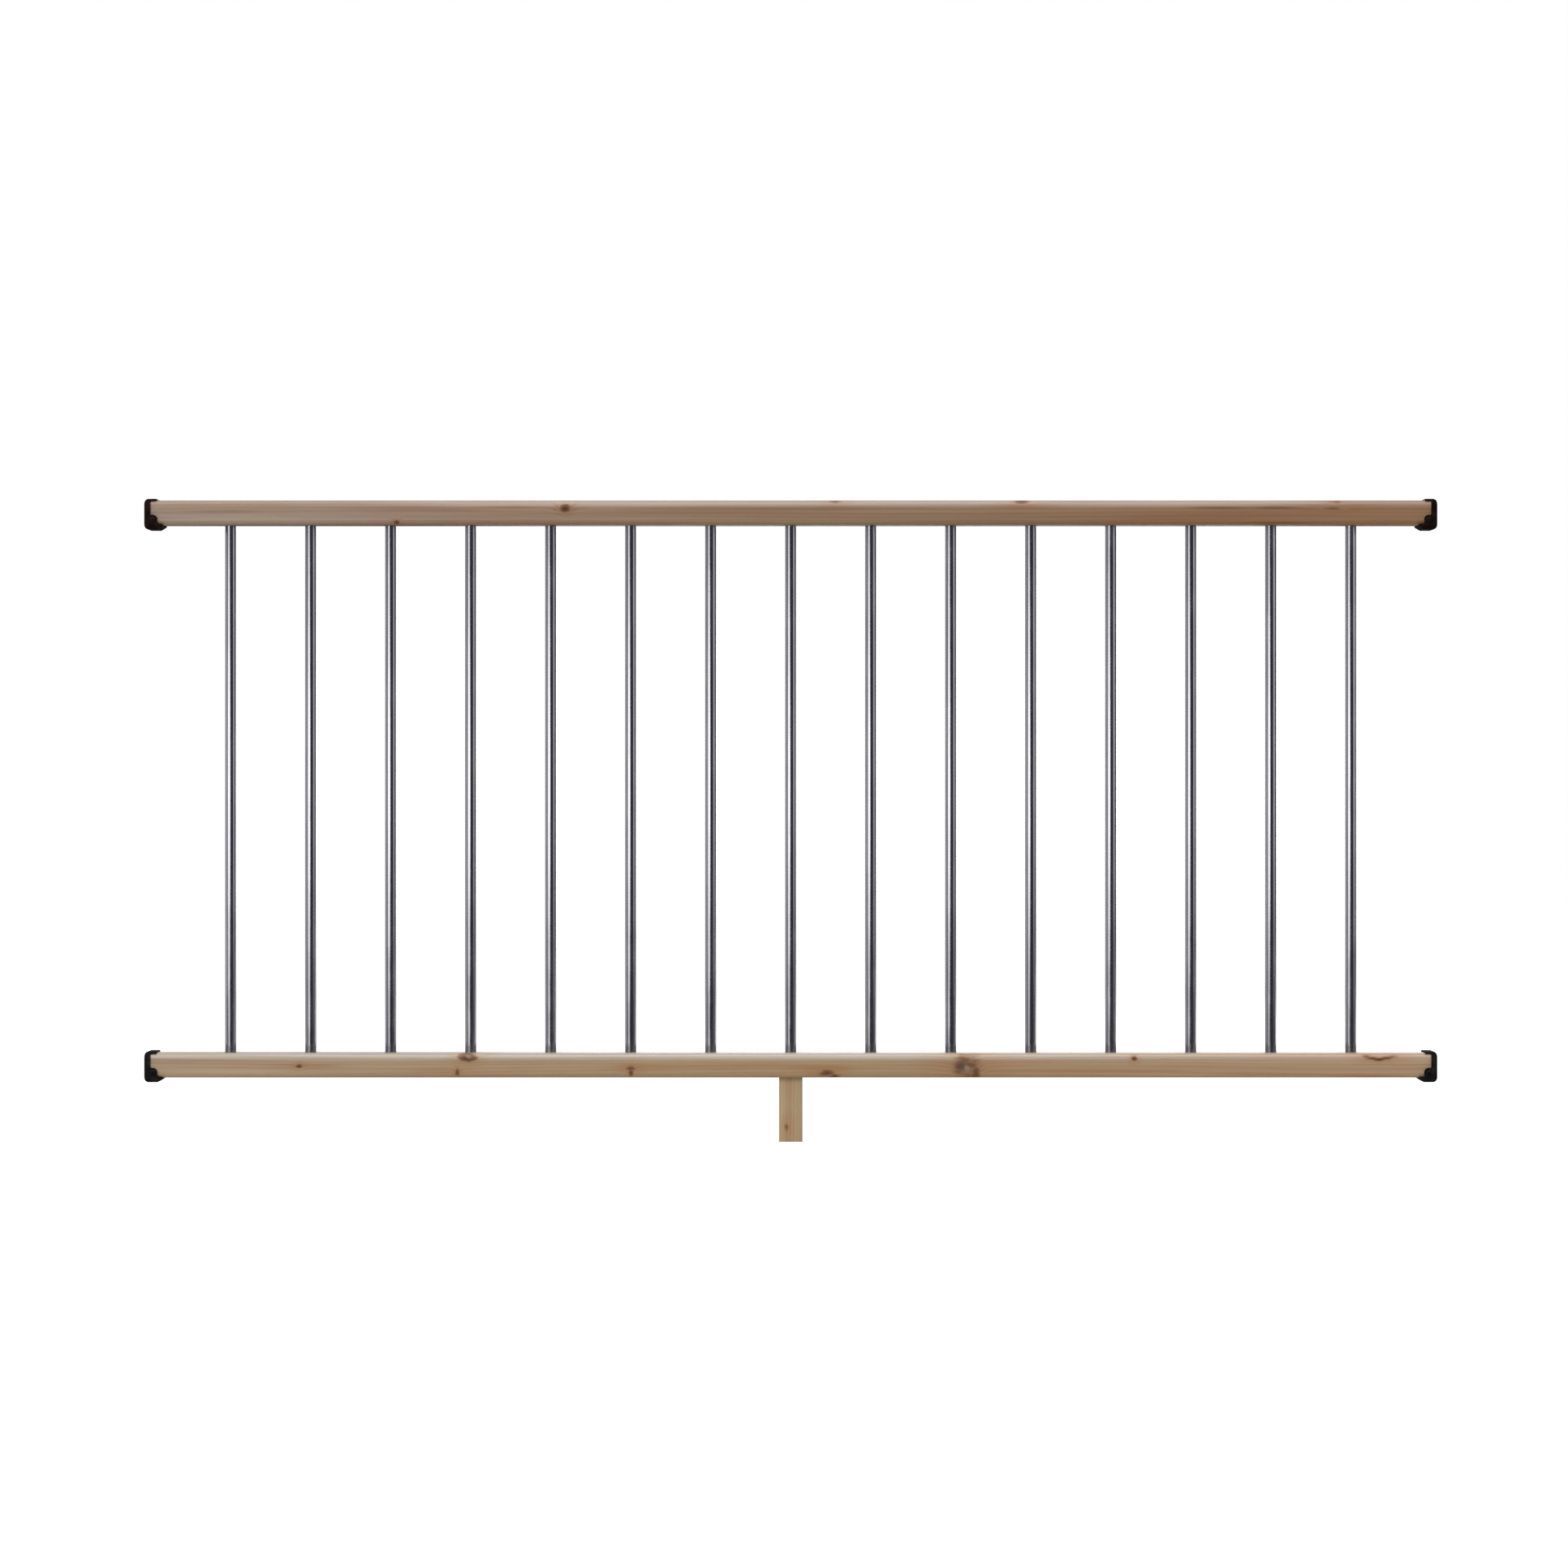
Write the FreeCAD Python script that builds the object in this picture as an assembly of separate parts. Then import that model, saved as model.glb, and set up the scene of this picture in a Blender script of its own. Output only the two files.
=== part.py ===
import FreeCAD, Part
import math
import os

# Deck railing section: two cedar rails, round metal balusters let into both of them, a support block
# under the lower rail and a moulded bracket on each rail end. All sizes are in millimetres.
# X runs along the rails, Z is up and the front looks towards -Y. The origin lies on the face of the
# lower left bracket that is fastened to a post, level with the centre line of the lower rail.

# Rails
RAIL_LENGTH = 1828.8
RAIL_HEIGHT = 34.9
RAIL_DEPTH = 63.5
RAIL_EDGE_RADIUS = 7.0
CLEAR_HEIGHT = 752.5          # between the two rails

# Balusters and the blind sockets that hold them
BALUSTER_DIAMETER = 15.9
BALUSTER_WALL = 1.25
BALUSTER_PITCH = 114.3
END_MARGIN = 80.0             # least distance from a rail's end to a baluster's centre line
SOCKET_DEPTH = 19.0
SOCKET_CLEARANCE = 0.2        # all round a baluster
BALUSTER_END_PLAY = 0.5       # above a baluster that stands on its lower socket

# Support block
BLOCK_WIDTH = 33.5
BLOCK_HEIGHT = 92.1
BLOCK_EDGE_RADIUS = 1.5

# Brackets: a plate against the post and a shallow socket around the rail's end
PLATE_THICKNESS = 6.35
SIDE_WALL = 3.5
TOP_WALL = 2.0
RAIL_FIT = 0.3                # between the rail and the bracket's sides and top
COLLAR_REACH = 2.5            # reaches are measured along the rail, from its end
LIP_REACH = 11.0
EAR_REACH = 12.5
LEDGE_REACH = 20.0
LIP_DROP = 1.0                # how far the lip's rim comes down over the rail's upper edge
EAR_HEIGHT = 14.0             # heights are measured from the rail's underside
EAR_CORNER_RADIUS = 6.0
EAR_ROOT_RADIUS = 3.0         # where the ear's top turns up into the collar
LEDGE_THICKNESS = 6.5
LEDGE_TIP_THICKNESS = 1.5
LEDGE_RIM = 1.0               # how far the ledge's rim comes up over the rail's lower edge
FOOT_CORNER_RADIUS = 9.0
PLATE_EDGE_RADIUS = 6.0       # all round the face that lies against the post
MOULD_EDGE_RADIUS = 0.8

# Holes for the two screws that fasten a bracket's plate to a post
POST_HOLE_RADIUS = 2.6
POST_HOLE_SPACING = 32.0
COUNTERSINK_RADIUS = 4.8
COUNTERSINK_HALF_ANGLE = 41.0

# Screws through the brackets' ears into the rail
SCREW_RADIUS = 2.1
SCREW_LENGTH = 25.4           # under the head
SCREW_HEAD_RADIUS = 4.0
SCREW_HEAD_HEIGHT = 2.6
SCREW_HEAD_DOME = 1.2         # part of the head's height that is rounded
SCREW_TIP_LENGTH = 5.0
SCREW_HOLE_CLEARANCE = 0.3    # in the ear
PILOT_CLEARANCE = 0.05        # in the rail

# Places that follow from the sizes above
RAIL_START = PLATE_THICKNESS
RAIL_END = RAIL_START + RAIL_LENGTH
OVERALL_LENGTH = RAIL_END + PLATE_THICKNESS
MIDDLE = OVERALL_LENGTH / 2
LOWER_RAIL_BOTTOM = -RAIL_HEIGHT / 2
LOWER_RAIL_TOP = LOWER_RAIL_BOTTOM + RAIL_HEIGHT
UPPER_RAIL_BOTTOM = LOWER_RAIL_TOP + CLEAR_HEIGHT
BRACKET_HALF_DEPTH = RAIL_DEPTH / 2 + RAIL_FIT + SIDE_WALL
SCREW_FROM_RAIL_END = EAR_REACH / 2
SCREW_ABOVE_UNDERSIDE = EAR_HEIGHT / 2

X_AXIS = FreeCAD.Vector(1, 0, 0)
Y_AXIS = FreeCAD.Vector(0, 1, 0)
Z_AXIS = FreeCAD.Vector(0, 0, 1)


def baluster_places():
    """Centre lines of the balusters along X, as many as fit, centred on the rails."""
    spaces = math.floor((RAIL_LENGTH - 2 * END_MARGIN) / BALUSTER_PITCH)
    first = MIDDLE - spaces * BALUSTER_PITCH / 2
    return [first + number * BALUSTER_PITCH for number in range(spaces + 1)]


def line(start, end):
    return Part.LineSegment(start, end).toShape()


def rounded_face(corners):
    """Flat face through the corners in order, each rounded by the radius that stands beside it."""
    bends = []
    for number, (corner, radius) in enumerate(corners):
        back = (corners[number - 1][0] - corner).normalize()
        onward = (corners[(number + 1) % len(corners)][0] - corner).normalize()
        half_angle = back.getAngle(onward) / 2
        cut = radius / math.tan(half_angle)
        inset = radius / math.sin(half_angle) - radius
        inwards = (back + onward).normalize()
        bends.append((corner + back * cut, corner + inwards * inset, corner + onward * cut))
    edges = []
    for number, (start, middle, end) in enumerate(bends):
        if corners[number][1] > 0:
            edges.append(Part.Arc(start, middle, end).toShape())
        edges.append(line(end, bends[(number + 1) % len(bends)][0]))
    return Part.Face(Part.Wire(edges))


def rounded_section(x, half_depth, bottom, top, bottom_radius, top_radius):
    """Upright face across the rails at x, with rounded corners."""
    return rounded_face([
        (FreeCAD.Vector(x, half_depth, bottom), bottom_radius),
        (FreeCAD.Vector(x, half_depth, top), top_radius),
        (FreeCAD.Vector(x, -half_depth, top), top_radius),
        (FreeCAD.Vector(x, -half_depth, bottom), bottom_radius),
    ])


def rail(bottom, socket_floor):
    """Rail with a blind socket for each baluster and a pilot hole for each ear screw."""
    section = rounded_section(
        RAIL_START, RAIL_DEPTH / 2, bottom, bottom + RAIL_HEIGHT, RAIL_EDGE_RADIUS, RAIL_EDGE_RADIUS)
    shape = section.extrude(X_AXIS * RAIL_LENGTH)
    socket_radius = BALUSTER_DIAMETER / 2 + SOCKET_CLEARANCE
    sockets = [
        Part.makeCylinder(socket_radius, SOCKET_DEPTH, FreeCAD.Vector(x, 0, socket_floor))
        for x in baluster_places()
    ]
    pilots = [screw_body(x, side, bottom, PILOT_CLEARANCE) for x in screw_places() for side in (-1, 1)]
    return shape.cut(sockets + pilots)


def baluster(x):
    """Open round tube that stands on the floor of its lower socket."""
    length = CLEAR_HEIGHT + 2 * SOCKET_DEPTH - BALUSTER_END_PLAY
    foot = FreeCAD.Vector(x, 0, LOWER_RAIL_TOP - SOCKET_DEPTH)
    outside = Part.makeCylinder(BALUSTER_DIAMETER / 2, length, foot)
    inside = Part.makeCylinder(BALUSTER_DIAMETER / 2 - BALUSTER_WALL, length, foot)
    return outside.cut(inside)


def support_block():
    """Square block from the lower rail down to the deck, with eased upright edges."""
    corner = FreeCAD.Vector(MIDDLE - BLOCK_WIDTH / 2, -BLOCK_WIDTH / 2, LOWER_RAIL_BOTTOM - BLOCK_HEIGHT)
    shape = Part.makeBox(BLOCK_WIDTH, BLOCK_WIDTH, BLOCK_HEIGHT, corner)
    upright = [edge for edge in shape.Edges if edge.BoundBox.ZLength > BLOCK_HEIGHT / 2]
    return shape.makeFillet(BLOCK_EDGE_RADIUS, upright)


def bracket_outline(rail_bottom):
    """Face of the bracket as the front view shows it: plate, collar, lip, ear and tapered ledge."""
    collar = RAIL_START + COLLAR_REACH
    lip = RAIL_START + LIP_REACH
    ear = RAIL_START + EAR_REACH
    tip = RAIL_START + LEDGE_REACH
    roof = RAIL_HEIGHT + RAIL_FIT + TOP_WALL
    flat_on_ear = ear - EAR_CORNER_RADIUS - collar
    corners = [
        (0, roof, 0),
        (0, -LEDGE_THICKNESS, 0),
        (ear, -LEDGE_THICKNESS, 0),
        (tip, -LEDGE_TIP_THICKNESS, 0),
        (tip, LEDGE_RIM, 0),
        (ear, LEDGE_RIM, 0),
        (ear, EAR_HEIGHT, EAR_CORNER_RADIUS),
        (collar, EAR_HEIGHT, min(EAR_ROOT_RADIUS, flat_on_ear / 2)),
        (collar, RAIL_HEIGHT - LIP_DROP, 0),
        (lip, RAIL_HEIGHT - LIP_DROP, 0),
        (lip, roof, 0),
    ]
    return rounded_face([
        (FreeCAD.Vector(x, -BRACKET_HALF_DEPTH, rail_bottom + height), radius)
        for x, height, radius in corners
    ])


def post_hole(y, rail_bottom):
    """Screw hole through the plate, countersunk on the side where the rail's end comes."""
    centre = FreeCAD.Vector(0, y, rail_bottom + RAIL_HEIGHT / 2)
    sink = (COUNTERSINK_RADIUS - POST_HOLE_RADIUS) / math.tan(math.radians(COUNTERSINK_HALF_ANGLE))
    hole = Part.makeCylinder(POST_HOLE_RADIUS, PLATE_THICKNESS, centre, X_AXIS)
    sink_start = centre + X_AXIS * (PLATE_THICKNESS - sink)
    return hole.fuse(Part.makeCone(POST_HOLE_RADIUS, COUNTERSINK_RADIUS, sink, sink_start, X_AXIS))


def left_bracket(rail_bottom):
    """Moulded bracket on the left end of a rail, alike in front and behind."""
    roof = rail_bottom + RAIL_HEIGHT + RAIL_FIT + TOP_WALL
    seen_from_front = bracket_outline(rail_bottom).extrude(Y_AXIS * 2 * BRACKET_HALF_DEPTH)
    seen_from_end = rounded_section(
        0, BRACKET_HALF_DEPTH, rail_bottom - LEDGE_THICKNESS, roof,
        FOOT_CORNER_RADIUS, RAIL_EDGE_RADIUS + SIDE_WALL,
    ).extrude(X_AXIS * (RAIL_START + LEDGE_REACH))
    body = seen_from_front.common(seen_from_end)
    post_side_edges = [edge for edge in body.Edges if edge.BoundBox.XMax < RAIL_START / 2]
    body = body.makeFillet(PLATE_EDGE_RADIUS, post_side_edges)
    rail_side_edges = [edge for edge in body.Edges if edge.BoundBox.XMin > RAIL_START]
    body = body.makeFillet(MOULD_EDGE_RADIUS, rail_side_edges)
    pocket = rounded_section(
        RAIL_START, RAIL_DEPTH / 2 + RAIL_FIT, rail_bottom, rail_bottom + RAIL_HEIGHT + RAIL_FIT,
        RAIL_EDGE_RADIUS, RAIL_EDGE_RADIUS,
    ).extrude(X_AXIS * 2 * LEDGE_REACH)
    ear_hole = Part.makeCylinder(
        SCREW_RADIUS + SCREW_HOLE_CLEARANCE, 2 * BRACKET_HALF_DEPTH,
        FreeCAD.Vector(
            RAIL_START + SCREW_FROM_RAIL_END, -BRACKET_HALF_DEPTH, rail_bottom + SCREW_ABOVE_UNDERSIDE),
        Y_AXIS)
    post_holes = [post_hole(side * POST_HOLE_SPACING / 2, rail_bottom) for side in (-1, 1)]
    return body.cut([pocket, ear_hole] + post_holes)


def right_bracket(rail_bottom):
    """The left bracket turned half round about the middle of the section."""
    shape = left_bracket(rail_bottom)
    shape.rotate(FreeCAD.Vector(MIDDLE, 0, 0), Z_AXIS, 180)
    return shape


def screw_places():
    """Places of the ear screws along X, left and right."""
    return (RAIL_START + SCREW_FROM_RAIL_END, RAIL_END - SCREW_FROM_RAIL_END)


def screw_body(x, side, rail_bottom, clearance):
    """Shank with a point, grown by a clearance, from the ear's outer face into the rail."""
    head_seat = FreeCAD.Vector(x, side * BRACKET_HALF_DEPTH, rail_bottom + SCREW_ABOVE_UNDERSIDE)
    inwards = Y_AXIS * -side
    radius = SCREW_RADIUS + clearance
    plain = SCREW_LENGTH - SCREW_TIP_LENGTH
    shank = Part.makeCylinder(radius, plain, head_seat, inwards)
    tip_start = head_seat + inwards * plain
    return shank.fuse(Part.makeCone(radius, clearance, SCREW_TIP_LENGTH, tip_start, inwards))


def screw(x, side, rail_bottom):
    """Pan head screw that sits on the ear's outer face, in front (-1) or behind (1)."""
    head_seat = FreeCAD.Vector(x, side * BRACKET_HALF_DEPTH, rail_bottom + SCREW_ABOVE_UNDERSIDE)
    head = Part.makeCylinder(SCREW_HEAD_RADIUS, SCREW_HEAD_HEIGHT, head_seat, Y_AXIS * side)
    rim = max(head.Edges, key=lambda edge: abs(edge.CenterOfMass.y))
    head = head.makeFillet(SCREW_HEAD_DOME, [rim])
    return head.fuse(screw_body(x, side, rail_bottom, 0)).removeSplitter()


def all_pieces():
    """Every piece of the section, by name."""
    pieces = {
        "top_rail": rail(UPPER_RAIL_BOTTOM, UPPER_RAIL_BOTTOM),
        "bottom_rail": rail(LOWER_RAIL_BOTTOM, LOWER_RAIL_TOP - SOCKET_DEPTH),
        "support_block": support_block(),
    }
    for number, x in enumerate(baluster_places(), start=1):
        pieces[f"baluster_{number:02d}"] = baluster(x)
    for level, bottom in (("top", UPPER_RAIL_BOTTOM), ("bottom", LOWER_RAIL_BOTTOM)):
        pieces[f"bracket_{level}_left"] = left_bracket(bottom)
        pieces[f"bracket_{level}_right"] = right_bracket(bottom)
        for end, x in zip(("left", "right"), screw_places()):
            pieces[f"screw_{level}_{end}_front"] = screw(x, -1, bottom)
            pieces[f"screw_{level}_{end}_back"] = screw(x, 1, bottom)
    return pieces


os.makedirs("parts", exist_ok=True)
for name, shape in all_pieces().items():
    box = shape.BoundBox
    print(f"{name}: {len(shape.Solids)} solid, valid {shape.isValid()}, {shape.Volume / 1000:.2f} cm3,",
          f"x {box.XMin:.1f} to {box.XMax:.1f}, y {box.YMin:.1f} to {box.YMax:.1f},",
          f"z {box.ZMin:.1f} to {box.ZMax:.1f}")
    shape.exportStep(f"parts/{name}.step")
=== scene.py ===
# %% [markdown]
# A deck railing section: two cedar rails, fifteen dark metal balusters, a support block under the middle,
# and four moulded brackets that screw the rails to their posts. The CAD model already holds every piece
# at its real size, so this lesson loads it as a fixed frame and only adds what CAD leaves plain: the
# finish of each surface, finer screws and balusters, light and a camera. The frame's box is read at once,
# before any new piece is added.

# %% Load the frame
import math

import bpy
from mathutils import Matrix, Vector


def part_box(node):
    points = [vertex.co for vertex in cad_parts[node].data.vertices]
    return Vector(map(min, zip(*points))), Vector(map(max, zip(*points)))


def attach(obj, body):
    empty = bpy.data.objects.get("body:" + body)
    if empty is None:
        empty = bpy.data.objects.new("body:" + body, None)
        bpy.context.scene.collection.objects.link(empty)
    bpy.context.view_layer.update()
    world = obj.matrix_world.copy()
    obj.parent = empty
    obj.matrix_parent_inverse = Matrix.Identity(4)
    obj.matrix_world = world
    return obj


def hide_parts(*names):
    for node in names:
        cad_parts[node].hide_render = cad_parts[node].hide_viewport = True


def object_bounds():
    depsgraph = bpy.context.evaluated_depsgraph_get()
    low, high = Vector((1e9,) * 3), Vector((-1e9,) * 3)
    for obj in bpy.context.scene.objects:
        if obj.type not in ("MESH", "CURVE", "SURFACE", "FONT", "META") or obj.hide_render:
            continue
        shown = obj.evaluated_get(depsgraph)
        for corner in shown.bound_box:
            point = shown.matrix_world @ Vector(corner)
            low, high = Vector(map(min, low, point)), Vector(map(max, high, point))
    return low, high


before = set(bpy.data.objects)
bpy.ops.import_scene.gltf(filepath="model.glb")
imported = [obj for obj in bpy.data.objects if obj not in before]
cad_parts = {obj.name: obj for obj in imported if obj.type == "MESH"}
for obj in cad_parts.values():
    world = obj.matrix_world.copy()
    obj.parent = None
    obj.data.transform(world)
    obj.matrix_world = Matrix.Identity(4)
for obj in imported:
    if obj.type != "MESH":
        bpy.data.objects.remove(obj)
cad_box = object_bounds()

print("pieces in the frame:", len(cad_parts))

# %% [markdown]
# Nothing is measured twice. The rails, the block, the balusters and the screws say where they are through
# their boxes, so a change of the CAD model moves the finishes and the new pieces with it. Lengths in
# Blender are metres. Small sizes are easier to read in millimetres, and MM turns those to metres.

# %% Sizes read from the frame
MM = 0.001

top_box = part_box("top_rail")
bottom_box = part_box("bottom_rail")
block_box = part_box("support_block")
railing_middle = (cad_box[0] + cad_box[1]) / 2
floor_height = block_box[0].z
rail_front = top_box[0].y

baluster_names = sorted(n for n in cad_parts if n.startswith("baluster_"))
bracket_names = sorted(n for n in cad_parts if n.startswith("bracket_"))
screw_names = sorted(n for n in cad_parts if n.startswith("screw_"))
print("railing", [round(side, 4) for side in cad_box[1] - cad_box[0]], "m, floor at", round(floor_height, 4))

# %% [markdown]
# A finish is a graph of nodes, and most of its nodes only add, multiply or compare numbers. Placing those
# one by one hides the idea, so a small class wraps a socket: arithmetic on it adds the Math nodes, in
# either order, and one method adds any other node. The method sets a node's settings first, because some
# of them change which sockets the node has. The same class builds Geometry Nodes trees further down.

# %% A socket that does arithmetic
def operator_pair(operation):
    """The method of an operator and that of its reflected form. Both add a Math node."""

    def plain(self, other):
        return self.math(operation, self, other)

    def reflected(self, other):
        return self.math(operation, other, self)

    return plain, reflected


class Wire:
    """One output socket of a node tree, or the bare tree before its first node."""

    __add__, __radd__ = operator_pair("ADD")
    __sub__, __rsub__ = operator_pair("SUBTRACT")
    __mul__, __rmul__ = operator_pair("MULTIPLY")
    __truediv__, __rtruediv__ = operator_pair("DIVIDE")
    __pow__, __rpow__ = operator_pair("POWER")

    def __init__(self, tree, socket=None):
        self.tree = tree
        self.socket = socket

    def node(self, kind, settings=None, values=None, result=0):
        """Adds a node and returns one of its outputs, or a list of them where result is a list."""
        made = self.tree.nodes.new(kind)
        for name, value in (settings or {}).items():
            if name == "stops":
                self.set_stops(made.color_ramp, value)
            else:
                setattr(made, name, value)
        for key, value in (values or {}).items():
            self.feed(made.inputs[key], value)
        if isinstance(result, list):
            return [Wire(self.tree, made.outputs[key]) for key in result]
        return Wire(self.tree, made.outputs[result]) if len(made.outputs) else None

    def feed(self, socket, value):
        """Gives an input a link, all the links of a list where it takes several, or a plain value."""
        if isinstance(value, Wire):
            self.tree.links.new(value.socket, socket)
        elif socket.is_multi_input:
            for wire in reversed(value):
                self.tree.links.new(wire.socket, socket)
        else:
            socket.default_value = value

    @staticmethod
    def set_stops(ramp, stops):
        while len(ramp.elements) < len(stops):
            ramp.elements.new(1.0)
        for element, (position, colour) in zip(ramp.elements, stops):
            element.position = position
            element.color = colour

    def math(self, operation, *numbers):
        return self.node("ShaderNodeMath", {"operation": operation}, dict(enumerate(numbers)))


print("reflected forms:", [name for name in vars(Wire) if name.startswith("__r")])

# %% [markdown]
# Most finishes ask two things: where a point lies on the railing, and what a noise stretched along some
# direction says there. Generated coordinates would stretch with each piece, so Object coordinates are
# used. Each piece has its place in its mesh and its object at the origin, so they are metres in the
# railing's own frame, and a pattern can't slide.

# %% Where a point lies
def place_in_millimetres(tree, middle):
    """Where a point lies on the railing, in millimetres from the middle of its piece."""
    spot = tree.node("ShaderNodeTexCoord", result="Object")
    offset = tree.node("ShaderNodeVectorMath", {"operation": "SUBTRACT"}, {0: spot, 1: middle})
    return tree.node("ShaderNodeVectorMath", {"operation": "SCALE"}, {0: offset, "Scale": 1 / MM})


def parts_of(vector):
    """The X, Y and Z of a vector."""
    return vector.node("ShaderNodeSeparateXYZ", None, {0: vector}, ["X", "Y", "Z"])


def stretched_noise(place, spans, detail=2.0, shift=0.0):
    """Noise from 0 to 1 whose features are about as long as spans, in millimetres, along X, Y and Z."""
    squeeze = [1 / span for span in spans]
    values = {0: place, 1: squeeze, 2: (shift, shift, shift)}
    vector = place.node("ShaderNodeVectorMath", {"operation": "MULTIPLY_ADD"}, values)
    return place.node("ShaderNodeTexNoise", None, {"Vector": vector, "Scale": 1.0, "Detail": detail}, "Fac")


def smooth_rise(value, start, end):
    """0 before start, 1 after end and a smooth rise between. Start may be above end."""
    settings = {"interpolation_type": "SMOOTHSTEP"}
    return value.node("ShaderNodeMapRange", settings, {"Value": value, "From Min": start, "From Max": end})


print("places are read in millimetres:", round(1 / MM), "to the metre")

# %% [markdown]
# Colours are mixed and shaded by Mix nodes, because a Math node would turn them grey. Every finish begins
# with an empty tree and ends in one Principled shader. A number that is the same all over goes straight
# to the shader's own socket, and only what changes over the surface is linked.

# %% Colours and the shader
COLOUR_A, COLOUR_B, COLOUR_RESULT = 6, 7, 2


def rgb(red, green, blue):
    """A colour as it is read off a screen, 0 to 255, turned to the linear values that shaders use."""
    parts = [channel / 255 for channel in (red, green, blue)]
    linear = [p / 12.92 if p <= 0.04045 else ((p + 0.055) / 1.055) ** 2.4 for p in parts]
    return (*linear, 1.0)


def mixed(first, second, amount):
    """A colour that goes from first to second as amount goes from 0 to 1."""
    values = {0: amount, COLOUR_A: first, COLOUR_B: second}
    return amount.node("ShaderNodeMix", {"data_type": "RGBA"}, values, COLOUR_RESULT)


def shaded(colour, tint, amount):
    """A colour multiplied by a tint of three parts, as far as amount says."""
    values = {0: amount, COLOUR_A: colour, COLOUR_B: (*tint, 1.0)}
    settings = {"data_type": "RGBA", "blend_type": "MULTIPLY"}
    return amount.node("ShaderNodeMix", settings, values, COLOUR_RESULT)


def bumped(relief, strength, depth):
    """A surface direction that leans as if relief, from 0 to 1, rose by depth."""
    values = {"Height": relief, "Strength": strength, "Distance": depth}
    return relief.node("ShaderNodeBump", None, values, "Normal")


def new_finish(name):
    finish = bpy.data.materials.new(name)
    finish.use_nodes = True
    finish.node_tree.nodes.clear()
    return finish, Wire(finish.node_tree)


def end_in_shader(tree, values):
    shader = tree.node("ShaderNodeBsdfPrincipled", None, values)
    tree.node("ShaderNodeOutputMaterial", None, {"Surface": shader})


print("cedar tan in linear light:", [round(part, 3) for part in rgb(158, 132, 105)])

# %% [markdown]
# A knot is a branch that the log grew around. A picture of a knot would only work on one face, so here it
# is an ellipsoid in the wood: close to it the growth rings swell, which bends the grain round it, and
# inside it the colour goes from a reddish rim to dark brown. Each knot is a row of a list, in
# millimetres: the place along the board from its middle, the height from its middle, half the length,
# half the height, half the depth, and then the strength, which is 1 for a black heart.

# %% Knots in a board
KNOT_SWELL = 9.0
KNOT_REACH = 0.55
KNOT_HALO = (0.97, 0.88, 0.80)
HALO_START = -1.2
KNOT_BORDER = (-0.15, 0.25)
KNOT_STOPS = [
    (0.00, rgb(150, 112, 80)),
    (0.25, rgb(120, 84, 54)),
    (0.60, rgb(78, 51, 34)),
    (1.00, rgb(52, 32, 20)),
]


def ellipsoid_distance(place, centre, size):
    """0 in the centre of an ellipsoid, 1 on its skin. Centre and half sizes are along X, Y and Z."""
    squeeze = [1 / part for part in size]
    shift = [-where / part for where, part in zip(centre, size)]
    values = {0: place, 1: squeeze, 2: shift}
    offset = place.node("ShaderNodeVectorMath", {"operation": "MULTIPLY_ADD"}, values)
    return place.node("ShaderNodeVectorMath", {"operation": "LENGTH"}, {0: offset}, "Value")


def knots_in(place, knots, front):
    """How deep a point lies in a knot, 1 in the heart and below 0 outside, and how far the rings swell."""
    depth = None
    swell = 0.0
    for along, height, half_length, half_height, half_depth, strength in knots:
        size = (half_length, half_depth, half_height)
        distance = ellipsoid_distance(place, (along, front, height), size)
        inside = strength * (1.0 - distance)
        bend = place.math("EXPONENT", distance * distance * -KNOT_REACH)
        swell = swell + bend * (KNOT_SWELL * strength * min(1.0, half_height / half_length))
        depth = place.math("MAXIMUM", depth, inside) if depth else inside
    return depth, swell


def knotted(colour, depth):
    """A colour with a warm halo round each knot and the knot's own colours inside."""
    knot_colour = depth.node("ShaderNodeValToRGB", {"stops": KNOT_STOPS}, {"Fac": depth}, "Color")
    colour = shaded(colour, KNOT_HALO, smooth_rise(depth, HALO_START, 0.0))
    return mixed(colour, knot_colour, smooth_rise(depth, *KNOT_BORDER))


print("a knot bends the grain by up to", KNOT_SWELL, "mm")

# %% [markdown]
# A streak is a much longer ellipsoid that only tints the wood, where resin or sapwood runs along it. A
# heart is the grey or pink middle of a big knot, which the knot's own colours don't have, so it is laid
# over them. Both are rows of a list too: the place along the board, the height, half the length, half the
# height, and a tint or a colour. A noise about 0 is added to the distance, so that their borders wander.

# %% Streaks and hearts
STREAK_DEPTH = 30.0
STREAK_BORDER = (1.15, 0.25)
HEART_BORDER = (1.2, 0.1)
HEART_SHARE = 0.8


def lens_distance(place, front, along, height, half_length, half_height):
    """0 in the middle of a streak or heart that lies on the front face, 1 on its border."""
    return ellipsoid_distance(place, (along, front, height), (half_length, STREAK_DEPTH, half_height))


def streaked(colour, place, streaks, front, wander):
    for *where, tint in streaks:
        distance = lens_distance(place, front, *where) + wander
        colour = shaded(colour, tint, smooth_rise(distance, *STREAK_BORDER))
    return colour


def hearted(colour, place, hearts, front, wander):
    for *where, heart_colour in hearts:
        distance = lens_distance(place, front, *where) + wander
        colour = mixed(colour, heart_colour, smooth_rise(distance, *HEART_BORDER) * HEART_SHARE)
    return colour


print("streaks and hearts reach", STREAK_DEPTH, "mm into the wood")

# %% [markdown]
# Cedar shows growth rings, and a rail is a stick cut out of them. So the grain isn't painted on the
# faces: it is the log itself. Rings are measured as a distance from the log's pith, which runs along the
# board some way outside it, and each face cuts through them as a saw would, end grain included. In each
# ring the pale early wood darkens slowly to late wood and then ends at once, and that is what makes a
# ring look like one.

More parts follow.
